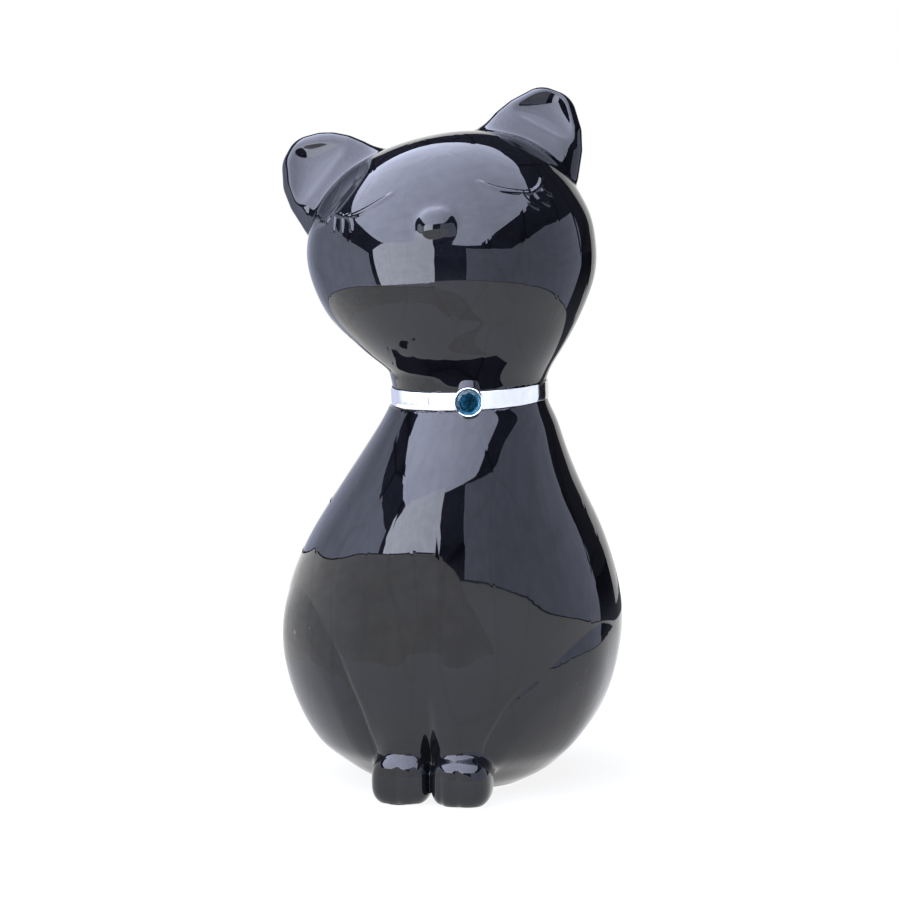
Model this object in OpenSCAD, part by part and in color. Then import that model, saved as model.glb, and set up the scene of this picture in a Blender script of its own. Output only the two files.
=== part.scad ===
// Seated cat figurine: two slip-cast ceramic shells joined at the neck, a metal
// collar with a set stone, a push-in bung in the base and felt pads under it.
// +Z is up, the cat's chest faces -Y, and the origin is on the table, mid-base.

/* [Body] */
// Diameter of the round belly
belly_d = 125; // [118:0.5:132]
// Thickness of the cast ceramic wall
wall = 4.5; // [3.5:0.5:6]
// How far the neck sits to the side of the belly, towards +X
neck_x = 10.2; // [8:0.2:12]
// How far the neck sits in front of the belly
neck_y = 21.5; // [19:0.5:24]
// Gap from the table to the glazed underside
foot_gap = 0.6; // [0.4:0.1:1]

/* [Head] */
// Widest diameter of the head
head_d = 104; // [100:0.5:108]
// Sideways position of the head's centre
head_x = 4.4; // [3:0.2:6]
// Distance of the head's centre in front of the middle
head_y = 16; // [14:0.5:18]
// Height of the head's centre above the table
head_z = 196.5; // [194:0.5:199]
// Sideways tilt of the head, towards -X
head_tilt = 11; // [8:0.5:14]
// Upward tip of the face
head_nod = 12; // [8:1:14]
// Turn of the head towards +X
head_turn = 8; // [0:1:12]
// Depth of the head, as a share of its width
head_depth = 0.94; // [0.88:0.01:1]
// Radius of the ears' rounded corners
ear_r = 9.8; // [9:0.1:10.5]
// Thickness of an ear, as a share of its corner's width
ear_flat = 0.62; // [0.5:0.02:0.8]

/* [Collar] */
// Height of the collar's middle above the table
collar_z = 146.5; // [145.5:0.1:147.5]
// Inside radius of the collar band
collar_r = 27.9; // [27.7:0.1:28.4]
// Height of the band
collar_h = 6.3; // [5:0.1:8]
// Thickness of the band
collar_t = 0.6; // [0.5:0.1:1]
// Sideways tilt of the band
collar_tilt = 2.5; // [0:0.5:5]
// Forward tilt of the band
collar_nod = 1.8; // [0:0.2:3]
// Diameter of the round stone
stone_d = 9.6; // [8:0.2:12]
// Turn of the stone round the neck, towards +X
stone_turn = 8.9; // [0:0.1:15]

/* [Base] */
// Radius of the hole that the bung closes
hole_r = 9; // [7:0.5:11]
// Radial clearance of the bung in the hole
bung_fit = 0.06; // [0.02:0.01:0.1]
// Length of the bung's plug
plug_l = 8; // [6:0.5:12]
// Thickness of the felt pads
felt_t = 1.2; // [1:0.1:2]
// Distance of each front paw from the middle
paw_x = 10.8; // [10:0.2:12]
// Distance of the paws in front of the middle
paw_y = 48; // [45:0.5:50]

/* [Hidden] */
$fn = 96;

GLAZE = [0.16, 0.17, 0.23];
// Outline of the body by height: [z, half width, half depth, shift to +X, shift to the back]
BODY = [[0.6, 27, 25, 0, -1], [4, 33.5, 32, 0, -1], [10, 41.3, 40.5, 0, -0.5], [18, 48.7, 49, 0, 0],
    [28, 55.3, 56, 0, 1], [42, 60.4, 61, 0, 1.4], [58, 62.5, 63, 0.3, 1.3], [78, 59.3, 61.8, 1.4, -1.4],
    [98, 51, 56.3, 3.6, -6.7], [116, 41.3, 47.2, 6.1, -12.6], [130, 34.4, 38.2, 8.7, -17.2],
    [138, 30.6, 32.4, 10, -19.6], [144, 28.2, 28.6, 10.2, -21.1], [150, 27.9, 27.9, 10.2, -21.5],
    [153, 27.9, 27.9, 10.2, -21.5]];
BODY_RINGS = [0.6, 2, 4, 7, 10, 14, 18, 23, 28, 35, 42, 50, 58, 68, 78, 88, 98, 107, 116, 123, 130, 138, 144,
    149, 153];
CAVITY_RINGS = [7, 12, 18, 28, 42, 58, 78, 98, 116, 130, 138, 144, 153];
// Reach of the head by angle above its middle: [angle, reach towards -X, reach towards +X]
HEAD = [[-90, 61, 61], [-75, 58, 58.5], [-62, 52.4, 54.1], [-48, 49.2, 51.1], [-30, 49.5, 50.2],
    [-15, 51.9, 50.6], [0, 53.4, 50.1], [12, 53.9, 49.2], [25, 52.4, 48.5], [50, 47.4, 46.2],
    [70, 43.3, 43.3], [90, 41.8, 41.8]];
// Corners of each ear seen from the front, to the middle of their rounding, and of its hollow
LEFT_EAR = [[-26, 33], [-34, 40.8], [-46.8, 42.8], [-48, 33], [-42, 18]];
LEFT_HOLLOW = [[-41, 42.5], [-48.5, 42.8], [-50.2, 34]];
RIGHT_EAR = [[22.4, 34.2], [30, 41], [41.9, 44.7], [43, 33], [38, 18.5]];
RIGHT_HOLLOW = [[36, 45.3], [43, 45.8], [44.5, 38.7]];
body_scale = belly_d / 125;
head_scale = head_d / 104;
around = 54;
neck_bore_r = 23;
neck_lap = 8;
cement_t = 0.25;
flange_r = 12;
flange_t = 2;
flange_z = 0.9;
side_gap = 0.1;
seat_gap = 0.15;
felt_ring_r = 22.5;
paw_felt_r = 5;
notch_w = 3.4;
notch_in = 2.2;
notch_h = 1.2;
bezel_wall = 0.5;
bezel_l = 3.2;
seat_z = 1;
foil_t = 0.1;
girdle_t = 0.8;
crown_t = 1.3;

// Smooth curve through the rows of a table, from its first column to the others
function row(t, x, i = 0) = i >= len(t) - 2 || x < t[i + 1][0] ? i : row(t, x, i + 1);
function slope(t, i) =
    let (a = max(i - 1, 0), b = min(i + 1, len(t) - 1))
    (t[b] - t[a]) / (t[b][0] - t[a][0]);
function curve(t, x) =
    let (i = row(t, x), h = t[i + 1][0] - t[i][0], u = (x - t[i][0]) / h)
    t[i] * (1 - u) * (1 - u) * (1 + 2 * u) + t[i + 1] * u * u * (3 - 2 * u)
    + h * u * (1 - u) * (slope(t, i) * (1 - u) - slope(t, i + 1) * u);

// One ring of points round the body at height z, offset inwards by inset
function body_ring(z, inset) =
    let (c = curve(BODY, z))
    [for (k = [0:around - 1]) let (a = 360 * k / around)
        [c[3] * neck_x / 10.2 + (body_scale * c[1] - inset) * cos(a),
        c[4] * neck_y / 21.5 + (body_scale * c[2] - inset) * sin(a), z]];
// One ring round the head at an angle above its middle
function head_ring(angle, inset) =
    let (c = curve(HEAD, angle))
    [for (k = [0:around - 1])
        let (a = 360 * k / around,
            reach = head_scale * (c[1] * (1 - cos(a)) + c[2] * (1 + cos(a))) / 2 - inset)
        reach * [cos(angle) * cos(a), head_depth * cos(angle) * sin(a), sin(angle)]];

// Closed skin through equal rings, flat at both ends
module skin(rings) {
    n = around;
    last = len(rings) - 1;
    sides = [for (j = [0:last - 1], k = [0:n - 1])
        let (a = j * n + k, b = j * n + (k + 1) % n) each [[a, b + n, b], [a, a + n, b + n]]];
    ends = [[for (k = [0:n - 1]) k], [for (k = [n - 1:-1:0]) last * n + k]];
    polyhedron([for (ring = rings) each ring], concat(sides, ends));
}

// Frame of the collar: origin mid-neck, tilted with the band
module at_collar() {
    translate([neck_x, -neck_y, collar_z])
    rotate([collar_nod, -collar_tilt, 0])
    children();
}
module at_head() {
    translate([head_x, -head_y, head_z])
    rotate([-head_nod, -head_tilt, head_turn])
    children();
}
// Frame of the stone: +Z points out of the collar
module at_stone() {
    at_collar()
    rotate([0, 0, stone_turn])
    rotate([90, 0, 0])
    children();
}
module tube(outer, inner, h) {
    rotate_extrude()
    translate([inner, 0])
    square([outer - inner, h]);
}

module paw(x) {
    hull($fn = 24) {
        for (toe = [-1:1])
        translate([x + 4.5 * toe, -paw_y - 3 + abs(toe), foot_gap + 5.5])
        sphere(5.7, $fn = 20);
        translate([x, 6 - paw_y, 10])
        sphere(9.4, $fn = 20);
        translate([0.85 * x, -paw_y - 3.5, 48])
        sphere(8.5, $fn = 20);
    }
}

module body_shell() {
    big = 200;
    color(GLAZE)
    difference() {
        union() {
            skin([for (z = BODY_RINGS) body_ring(z, 0)]);
            for (side = [-1, 1])
            paw(side * paw_x);
        }
        skin([for (z = CAVITY_RINGS) body_ring(z, wall)]);
        // Flat underside, with shallow seats for the felts
        translate([-big / 2, -big / 2, foot_gap - big])
        cube(big);
        base_seat(felt_t - foot_gap);
        translate([0, 0, -1])
        cylinder(h = 30, r = hole_r);
        translate([0, 0, -1])
        cylinder(h = flange_z + flange_t + side_gap + 1, r = flange_r + side_gap);
        // Flat neck rim, and the bore that the head's spigot enters
        at_collar() {
            translate([-big / 2, -big / 2, -cement_t])
            cube(big);
            translate([0, 0, -neck_lap - cement_t])
            cylinder(h = 20, r = neck_bore_r);
        }
        collar_seat();
    }
}
// Room under the band, and behind the stone's cup
module collar_seat() {
    at_collar()
    translate([0, 0, -collar_h / 2 - seat_gap])
    tube(1.5 * collar_r, collar_r - seat_gap, collar_h + 2 * seat_gap);
    at_stone()
    translate([0, 0, collar_r - seat_gap])
    cylinder(h = 4 * bezel_l, r = stone_d / 2 + bezel_wall + 2 * seat_gap);
}
module base_seat(depth) {
    translate([0, 0, foot_gap])
    tube(felt_ring_r + side_gap, flange_r + 2, depth);
    for (side = [-1, 1])
    translate([side * paw_x, -paw_y, foot_gap])
    cylinder(h = depth, r = paw_felt_r + side_gap);
}

// A rounded plate through the given corners
module plate(corners, r, flat, y) {
    hull() {
        for (corner = corners)
        translate([corner[0], y, corner[1]])
        scale([1, flat, 1])
        sphere(r, $fn = 24);
    }
}
module ear(corners, hollow) {
    difference() {
        plate(corners, ear_r, ear_flat, 3);
        plate(hollow, 0.65 * ear_r, 0.85, -3.6);
    }
}
module head_shell() {
    big = 200;
    color(GLAZE)
    difference() {
        union() {
            difference() {
                at_head() {
                    skin([for (a = [-84:7:84]) head_ring(a, 0)]);
                    ear(LEFT_EAR, LEFT_HOLLOW);
                    ear(RIGHT_EAR, RIGHT_HOLLOW);
                    translate([-2.8, -45.2, 4.7])
                    sphere(6.6, $fn = 24);
                }
                at_collar()
                translate([-big / 2, -big / 2, -big])
                cube(big);
            }
            at_collar()
            cylinder(h = 4, r = collar_r - 1.2);
            at_collar()
            translate([0, 0, -neck_lap])
            cylinder(h = neck_lap + 6, r = neck_bore_r - cement_t);
        }
        at_head()
        skin([for (a = [-60:12:84]) head_ring(a, wall)]);
        at_collar()
        translate([0, 0, -neck_lap - 1])
        cylinder(h = 30, r = neck_bore_r - cement_t - wall);
        collar_seat();
    }
}
module neck_cement() {
    color([0.75, 0.74, 0.7])
    at_collar()
    rotate_extrude()
    polygon([[neck_bore_r - cement_t, -neck_lap], [neck_bore_r, -neck_lap], [neck_bore_r, -cement_t],
        [collar_r - 1.6, -cement_t], [collar_r - 1.6, 0], [neck_bore_r - cement_t, 0]]);
}

module collar_band() {
    color([0.93, 0.93, 0.94])
    at_collar()
    difference() {
        translate([0, 0, -collar_h / 2])
        tube(collar_r + collar_t, collar_r, collar_h);
        // The strip's ends meet at the back
        translate([-0.1, 0, -collar_h])
        cube([0.2, 2 * collar_r, 2 * collar_h]);
    }
}
module bezel_cup() {
    r = stone_d / 2 + side_gap / 2;
    color([0.86, 0.86, 0.88])
    difference() {
        at_stone()
        translate([0, 0, collar_r - 1])
        difference() {
            cylinder(h = bezel_l + collar_t + 1, r = r + bezel_wall);
            translate([0, 0, collar_t + 1 + seat_z])
            cylinder(h = bezel_l, r = r);
        }
        at_collar()
        cylinder(h = 4 * stone_d, r = collar_r + collar_t, center = true);
    }
}
module at_seat() {
    at_stone()
    translate([0, 0, collar_r + collar_t + seat_z])
    children();
}
module stone_foil() {
    color([0.8, 0.82, 0.86])
    at_seat()
    cylinder(h = foil_t, r = stone_d / 2);
}
module stone() {
    r = stone_d / 2;
    color([0.2, 0.4, 0.5])
    at_seat()
    translate([0, 0, foil_t])
    rotate_extrude()
    polygon([[0, 0], [r, 0], [r, girdle_t], [0.7 * r, girdle_t + crown_t], [0, girdle_t + crown_t]]);
}

// Soft bung: flange in the base's recess with two nail notches, and a plug with a tapered end
module base_bung() {
    plug_r = hole_r - bung_fit;
    top = flange_z + flange_t;
    color([0.12, 0.12, 0.13])
    difference() {
        union() {
            translate([0, 0, flange_z])
            cylinder(h = flange_t, r = flange_r);
            translate([0, 0, top])
            cylinder(h = plug_l - 2, r = plug_r);
            translate([0, 0, top + plug_l - 2])
            cylinder(h = 2, r1 = plug_r, r2 = plug_r - 1.5);
        }
        for (side = [-1, 1])
        translate([side * flange_r, 0, flange_z])
        cube([2 * notch_in, notch_w, 2 * notch_h], center = true);
    }
}
module base_felt() {
    color([0.1, 0.1, 0.12])
    tube(felt_ring_r, flange_r + 2 + side_gap, felt_t);
}
module paw_felts() {
    color([0.1, 0.1, 0.12])
    for (side = [-1, 1])
    translate([side * paw_x, -paw_y, 0])
    cylinder(h = felt_t, r = paw_felt_r);
}

body_shell();
head_shell();
neck_cement();
collar_band();
bezel_cup();
stone();
stone_foil();
base_bung();
base_felt();
paw_felts();
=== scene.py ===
"""Looks of the seated cat figurine: glazed shells, polished collar, set stone, bung, felts, studio.

Shapes are worked out in millimetres in the frame of the CAD model and scaled to metres at the end.
"""
import math

import bmesh
import bpy
import numpy as np
from mathutils import Matrix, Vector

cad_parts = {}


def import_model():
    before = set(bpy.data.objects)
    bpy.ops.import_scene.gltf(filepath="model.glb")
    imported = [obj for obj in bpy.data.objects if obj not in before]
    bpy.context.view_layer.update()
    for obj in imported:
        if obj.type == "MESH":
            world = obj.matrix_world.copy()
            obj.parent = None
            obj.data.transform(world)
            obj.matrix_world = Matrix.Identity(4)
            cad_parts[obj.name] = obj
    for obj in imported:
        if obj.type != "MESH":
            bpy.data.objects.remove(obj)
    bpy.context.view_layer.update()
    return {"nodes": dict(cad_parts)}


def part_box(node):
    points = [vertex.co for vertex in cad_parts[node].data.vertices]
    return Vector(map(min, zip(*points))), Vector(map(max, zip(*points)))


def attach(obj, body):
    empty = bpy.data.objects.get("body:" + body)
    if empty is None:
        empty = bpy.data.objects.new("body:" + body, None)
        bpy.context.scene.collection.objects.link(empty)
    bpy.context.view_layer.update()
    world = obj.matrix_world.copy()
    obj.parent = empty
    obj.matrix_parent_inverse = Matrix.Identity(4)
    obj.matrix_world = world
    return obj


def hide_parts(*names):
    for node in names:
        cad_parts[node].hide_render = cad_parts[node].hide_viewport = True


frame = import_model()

MM = 0.001
ORIGIN, UPRIGHT = np.zeros(3), np.eye(3)
FOOT_GAP = 0.6              # table to glazed underside
WALL = 4.5                  # cast wall
NECK_RADIUS = 27.7          # glaze behind the collar
COLLAR_INNER, COLLAR_OUTER, COLLAR_HALF = 27.9, 28.5, 3.15
FELT_INNER, FELT_OUTER = 14.1, 22.6
PAW_FELT = (10.8, -48.0, 5.1)   # its place to each side and to the front, and the radius of its recess
FELT_BOTTOM, FELT_TOP = 0.02, 1.18


# ---------------- small maths

class Spline:
    """Natural cubic spline through (x, y), held flat past its ends."""

    def __init__(self, xs, ys):
        x, y = np.asarray(xs, float), np.asarray(ys, float)
        n, h = len(x), np.diff(x)
        a, b = np.zeros((n, n)), np.zeros(n)
        a[0, 0] = a[-1, -1] = 1
        for i in range(1, n - 1):
            a[i, i - 1], a[i, i], a[i, i + 1] = h[i - 1], 2 * (h[i - 1] + h[i]), h[i]
            b[i] = 6 * ((y[i + 1] - y[i]) / h[i] - (y[i] - y[i - 1]) / h[i - 1])
        self.x, self.y, self.h, self.m = x, y, h, np.linalg.solve(a, b)

    def __call__(self, t):
        t = np.clip(t, self.x[0], self.x[-1])
        i = np.clip(np.searchsorted(self.x, t, side="right") - 1, 0, len(self.h) - 1)
        h, a, b = self.h[i], self.x[i + 1] - t, t - self.x[i]
        return ((self.m[i] * a**3 + self.m[i + 1] * b**3) / (6 * h)
                + (self.y[i] / h - self.m[i] * h / 6) * a
                + (self.y[i + 1] / h - self.m[i + 1] * h / 6) * b)


def smooth_min(a, b, k):
    h = np.maximum(k - np.abs(a - b), 0) / k
    return np.minimum(a, b) - h**3 * k / 6


def smooth_max(a, b, k):
    return -smooth_min(-a, -b, k)


def ease(t):
    t = np.clip(t, 0, 1)
    return t * t * t * (t * (6 * t - 15) + 10)


def turn(axis, degrees):
    a = math.radians(degrees)
    c, s = math.cos(a), math.sin(a)
    return {"x": np.array([[1, 0, 0], [0, c, -s], [0, s, c]]),
            "y": np.array([[c, 0, s], [0, 1, 0], [-s, 0, c]]),
            "z": np.array([[c, -s, 0], [s, c, 0], [0, 0, 1]])}[axis]


def through(points, per_span=8):
    """A smooth curve through points, as closely spaced points."""
    p = np.asarray(points, float)
    t = np.r_[0, np.cumsum(np.linalg.norm(np.diff(p, axis=0), axis=1))]
    u = np.linspace(0, t[-1], per_span * (len(p) - 1) + 1)
    return np.stack([Spline(t, p[:, i])(u) for i in range(p.shape[1])], 1)


def path_distance(points, path):
    """Distance from each point to a chain of segments, and how far along it (0 to 1) the nearest place is."""
    best, along = np.full(len(points), 1e9), np.zeros(len(points))
    for i in range(len(path) - 1):
        a, e = path[i], path[i + 1] - path[i]
        t = np.clip((points - a) @ e / (e @ e), 0, 1)
        d = np.linalg.norm(points - a - t[:, None] * e, axis=1)
        near = d < best
        best[near], along[near] = d[near], (i + t[near]) / (len(path) - 1)
    return best, along


def wobble(p, size):
    """A smooth, slow unevenness of the surface, about +-1."""
    x, y, z = (p / size).T
    return (np.sin(x + 1.7 * np.sin(0.7 * y + 0.3)) + np.sin(1.1 * y + 1.3 * np.sin(0.8 * z + 1.1))
            + np.sin(0.9 * z + 1.5 * np.sin(0.6 * x + 2.1))) / 3


# ---------------- frames from the CAD model

def middle(node):
    lo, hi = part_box(node)
    return np.array((lo + hi) / 2) / MM


NECK = middle("collar_band")                    # middle of the collar
COLLAR = turn("y", -2.5) @ turn("x", 1.8)       # its tilt; columns are its axes
HEAD_AT = np.array([4.9, -19.0, 196.9])
HEAD = turn("z", 8) @ turn("y", -11) @ turn("x", -12)
STONE = COLLAR @ turn("z", 8.9) @ turn("x", 90)  # its third axis points out of the collar


def in_collar(p):
    return (p - NECK) @ COLLAR


def in_head(p):
    return (p - HEAD_AT) @ HEAD


def around_axis(p, angle):
    return np.stack([p[0] * np.cos(angle), p[0] * np.sin(angle), p[1] + 0 * angle], 1)


# ---------------- body

# z, half width, half depth, shift to +X, shift to the back
BODY = np.array([
    [-4, 19, 17, 0, -1], [0.6, 27, 25, 0, -1], [4, 33.5, 32, 0, -1], [10, 41.3, 40.5, 0, -0.5],
    [18, 48.7, 49, 0, 0], [28, 55.3, 56, 0, 1], [42, 60.4, 61, 0, 1.4], [58, 62.5, 63, 0.3, 1.3],
    [78, 59.3, 61.8, 1.4, -1.4], [98, 51, 56.3, 3.6, -6.7], [116, 41.3, 47.2, 6.1, -12.6],
    [130, 34.4, 38.2, 8.7, -17.2], [138, 30.6, 32.4, 10, -19.6], [144, 28.2, 28.6, 10.2, -21.1],
    [150, 27.9, 27.9, 10.2, -21.5], [156, 27.9, 27.9, 10.2, -21.5]])
BODY_LINES = [Spline(BODY[:, 0], BODY[:, i]) for i in range(1, 5)]

# Each haunch's crease, as azimuth in degrees (0 in front, + to +X) and height
LEFT_CREASE = [(-21.5, 8), (-23.4, 21), (-24.9, 34.6), (-27.8, 44), (-31.5, 54), (-38, 64),
               (-47, 72), (-58, 75), (-72, 72), (-84, 62)]
RIGHT_CREASE = [(20.5, 8), (23, 21), (26.6, 29.5), (33.4, 41), (40.5, 46.5), (48.6, 53),
                (58, 59), (68, 62.5), (78, 61), (88, 54)]
HAUNCH_HEIGHT, CREASE_DEPTH = 1.9, 0.4
# The middle line of the tail, from where it lies under the back to its tip
TAIL = [(6, 33, 10.2), (-12, 33.5, 11), (-26, 30.5, 15), (-37.5, 25.5, 22), (-46, 20.5, 31), (-51, 17, 43)]


def ring_share(p, z):
    """How far out p is, as a share of the body's outline at height z."""
    w, d, sx, sy = (line(z) for line in BODY_LINES)
    return np.sqrt(((p[:, 0] - sx) / w)**2 + ((p[:, 1] - sy) / d)**2 + 1e-12), w, d, sx, sy


def body_core(p):
    z = p[:, 2]
    r, w, d, sx, sy = ring_share(p, z)
    rise = (ring_share(p, z + 0.25)[0] - ring_share(p, z - 0.25)[0]) / 0.5
    slope = np.sqrt(((p[:, 0] - sx) / (w * w * r))**2 + ((p[:, 1] - sy) / (d * d * r))**2 + rise * rise)
    return (r - 1) / np.maximum(slope, 1e-4)


def capsule(p, a, b, r):
    a, e = np.array(a, float), np.array(b, float) - np.array(a, float)
    t = np.clip((p - a) @ e / (e @ e), 0, 1)
    return np.linalg.norm(p - a - t[:, None] * e, axis=1) - r


def pillow(p, centre, size, power):
    """A rounded block: an ellipsoid with fuller sides."""
    q = np.abs((p - centre) / size) + 1e-9
    r = (q**power).sum(1)**(1 / power)
    slope = np.sqrt((((q / r[:, None])**(power - 1) / size)**2).sum(1))
    return (r - 1) / slope


# Each front leg: its paw's middle and half sizes, and the line up the middle of the leg
LEG_RADIUS, PAW_POWER = 9.2, 2.9
LEGS = [((-9.8, -46.7, 8.4), (10.9, 9.7, 9.5), (-9.2, -42.0, 16), (-8.0, -47.6, 50)),
        ((12.0, -47.2, 8.5), (11.0, 10.9, 9.6), (10.8, -42.6, 16), (10.0, -47.6, 50))]
TOE_GROOVES = (-10.4, -4.2, 5.6, 11.8)


def paws(p):
    left, right = (smooth_min(pillow(p, centre, half, PAW_POWER), capsule(p, low, high, LEG_RADIUS), 7)
                   for centre, half, low, high in LEGS)
    x, y, z = p.T
    toes = sum(np.exp(-((x - at) / 1.0)**2) for at in TOE_GROOVES)
    return smooth_min(left, right, 0.8) + 0.5 * toes * ease((-50 - y) / 4) * ease((16 - z) / 5)


def unrolled(p):
    """Azimuth in degrees and height."""
    return np.stack([np.degrees(np.arctan2(p[:, 0], -p[:, 1])), p[:, 2]], 1)


def haunch(p, crease):
    """How far a haunch stands proud, and the fine groove along its crease."""
    c, flat = through(crease, 3), unrolled(p)
    d, along = path_distance(flat, c)
    i = np.clip((along * (len(c) - 1)).astype(int), 0, len(c) - 2)
    e, q = c[i + 1] - c[i], flat - c[i]
    side = np.sign(e[:, 1] * q[:, 0] - e[:, 0] * q[:, 1]) * np.sign(crease[0][0])
    fade = ease((92 - np.abs(flat[:, 0])) / 34) * ease((p[:, 2] - 4) / 14)
    width = 11 + 7 * ease((along - 0.3) / 0.4)
    raised = HAUNCH_HEIGHT * np.sin(np.minimum(np.maximum(d * side, 0) / width, 1) * np.pi / 2)
    groove = CREASE_DEPTH * np.exp(-(d / 1.1)**2) * ease((0.5 - along) / 0.2)
    return (raised - groove) * fade


def body_field(p):
    f, (x, y, z) = body_core(p), p.T
    low = z < 84
    q, bulge = p[low], np.zeros(low.sum())
    left = q[:, 0] < 0
    for half, crease in ((left, LEFT_CREASE), (~left, RIGHT_CREASE)):
        bulge[half] = haunch(q[half], crease)
    f[low] -= bulge
    front = low & (y < -20)
    f[front] = smooth_min(f[front], paws(p[front]), 6.5)
    between = np.exp(-((x[front] - 1.0) / 2.4)**2)
    f[front] += 1.5 * between * ease((54 - z[front]) / 26) * ease((z[front] - 10) / 12)
    back = low & (y > 0) & (x < 25)
    d, along = path_distance(p[back], through(TAIL, 4))
    f[back] = smooth_min(f[back], d - 7.6 + 2.4 * along, 3.0)
    across, deep, up = in_collar(p).T
    neck = np.hypot(across, deep) - NECK_RADIUS - np.maximum(-3.1 - up, 0) * 2.2
    f = np.where(up > -8, smooth_max(f, neck * 0.5, 0.3), f)
    return f + 0.05 * wobble(p, 3.4) + 0.09 * wobble(p, 7.7)


# ---------------- head

# Reach of the head from its middle by angle above it, on the -X and on the +X side
HEAD_ANGLES = np.radians([-90, -75, -62, -55, -48, -39, -30, -18, -6, 3, 12, 25, 50, 70, 90])
HEAD_LEFT = Spline(HEAD_ANGLES, [61, 58, 52.5, 50.3, 49.2, 49.0, 49.5, 51.5,
                                 52.8, 53.7, 53.9, 52.4, 47.4, 43.3, 41.8])
HEAD_RIGHT = Spline(HEAD_ANGLES, [61, 58.5, 54.1, 52.3, 51.1, 50.3, 50.2, 50.6,
                                  50.3, 50.0, 49.2, 48.4, 46.2, 43.3, 41.8])
DEPTH = 0.94                    # the head's depth to its width
CHIN = 1.7
NOSE, NOSE_SIZE = (-2.9, -45.6, 3.9), (6.7, 6.0, 5.4)
# The ears in the plane they stand in, x away from the middle and z up. plate is a flat outline that the ear reaches r
# past all round. rim is the three corners of the scoop in its front, which is depth deep. valley is how much sharper
# the join to the head is in front than behind.
EARS = [
    {"side": -1, "plate": [(26, 33), (33.6, 39.8), (40.4, 42.5), (46.9, 42.0), (48, 33), (42, 18)],
     "rim": [(31, 46.6), (54.5, 50.8), (55.6, 24)], "r": 10.0, "depth": 3.3, "valley": 0.6},
    {"side": 1, "plate": [(22.4, 34.2), (30, 41), (41.9, 44.7), (43, 33), (38, 18.5)],
     "rim": [(25.6, 48.6), (49.5, 55), (51.2, 28)], "r": 9.5, "depth": 4.7, "valley": 0.25}]
EAR_Y, EAR_FLAT = 3.0, 0.62             # where the ears stand from front to back, and their thickness to r
SCOOP_WIDTH, SCOOP_LIP = 9.5, 5.0       # from the scoop's rim to its floor, and how far its rim stands before EAR_Y
# Closed eyelids and lashes, seen from the front in the head's own axes: x, z
LIDS = [
    [(-16.6, 17.5), (-22, 15.5), (-28.3, 13.8), (-33, 13.6), (-38, 16.2), (-41.2, 18.6)],
    [(13.8, 15.9), (17.7, 13.6), (22.2, 11.6), (27.5, 10.3), (31.6, 10.2), (34.2, 12), (35.6, 15.2)]]
LASHES = [
    [(-40.3, 17.8), (-42.4, 14.4)], [(-38.4, 16.2), (-39.2, 13.2), (-40.0, 10.2)],
    [(-35.8, 14.4), (-36.2, 11.4), (-37.0, 8.6)], [(-33.4, 13.4), (-32.8, 10.8), (-33.2, 8.6)],
    [(27.6, 10.2), (29.6, 6.6), (32.3, 3.9)], [(32, 10.2), (33.8, 7.2), (36.2, 5.0)],
    [(34.4, 11.9), (36, 9.9), (37.9, 8.4)]]


def chin(x, y, angle):
    """How much fuller the head is under its front. It comes and goes between two angles below the middle."""
    front = np.clip(-y / (np.hypot(x, y) + 1e-9), 0, 1)**1.5
    return CHIN * front * ease((angle + 1.34) / 0.34) * ease((-0.68 - angle) / 0.36)


def head_radius(x, y, share, angle):
    """Reach of the plain head at an angle above its middle. share is 0 on the -X side and 1 on the +X side."""
    return HEAD_LEFT(angle) * (1 - share) + HEAD_RIGHT(angle) * share + chin(x, y, angle)


def head_angles(q):
    """Distance from the head's upright axis, angle above its middle, and share of the way to the +X side."""
    rho = np.hypot(q[:, 0], q[:, 1] / DEPTH) + 1e-9
    return rho, np.arctan2(q[:, 2], rho), 0.5 + 0.5 * q[:, 0] / rho


def head_reach(direction):
    """Reach of the plain head along unit directions in its own axes."""
    rho, angle, share = head_angles(direction)
    return head_radius(direction[:, 0], direction[:, 1], share, angle) / np.hypot(rho, direction[:, 2])


def head_ball(q):
    """Distance to the plain head."""
    rho, angle, share = head_angles(q)
    out, more, less = (head_radius(q[:, 0], q[:, 1], share, angle + step) for step in (0, 1e-3, -1e-3))
    bend = (more - less) / 2e-3
    return (np.hypot(rho, q[:, 2]) - out) / np.sqrt(1 + (bend / out)**2)


def shape_distance(x, z, corners):
    """Distance to a filled convex outline in the plane, 0 inside."""
    c = np.array(corners, float)
    n = np.roll(c, -1, 0) - c
    way = np.sign((c[:, 0] * np.roll(c[:, 1], -1) - np.roll(c[:, 0], -1) * c[:, 1]).sum())
    best, inside = np.full(len(x), 1e9), np.ones(len(x), bool)
    for a, e in zip(c, n):
        px, pz = x - a[0], z - a[1]
        t = np.clip((px * e[0] + pz * e[1]) / (e @ e), 0, 1)
        best = np.minimum(best, np.hypot(px - t * e[0], pz - t * e[1]))
        inside &= (e[0] * pz - e[1] * px) * way >= 0
    return np.where(inside, 0, best)


def rounded_outline(corners):
    """The same outline with each corner cut off, a little under a quarter of the way along its sides."""
    c = np.array(corners, float)
    n = np.roll(c, -1, 0)
    return np.stack([0.78 * c + 0.22 * n, 0.22 * c + 0.78 * n], 1).reshape(-1, 2)


def depth_inside(x, z, corners):
    """How far inside a triangle's three sides a place is, softened towards its corners."""
    c = np.array(corners, float)
    middle, depth = c.mean(0), None
    for a, b in zip(c, np.roll(c, -1, 0)):
        n = np.array([b[1] - a[1], a[0] - b[0]]) / np.linalg.norm(b - a)
        n = n * np.sign((middle - a) @ n)
        d = (x - a[0]) * n[0] + (z - a[1]) * n[1]
        depth = d if depth is None else smooth_min(depth, d, 8.0)
    return depth


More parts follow.
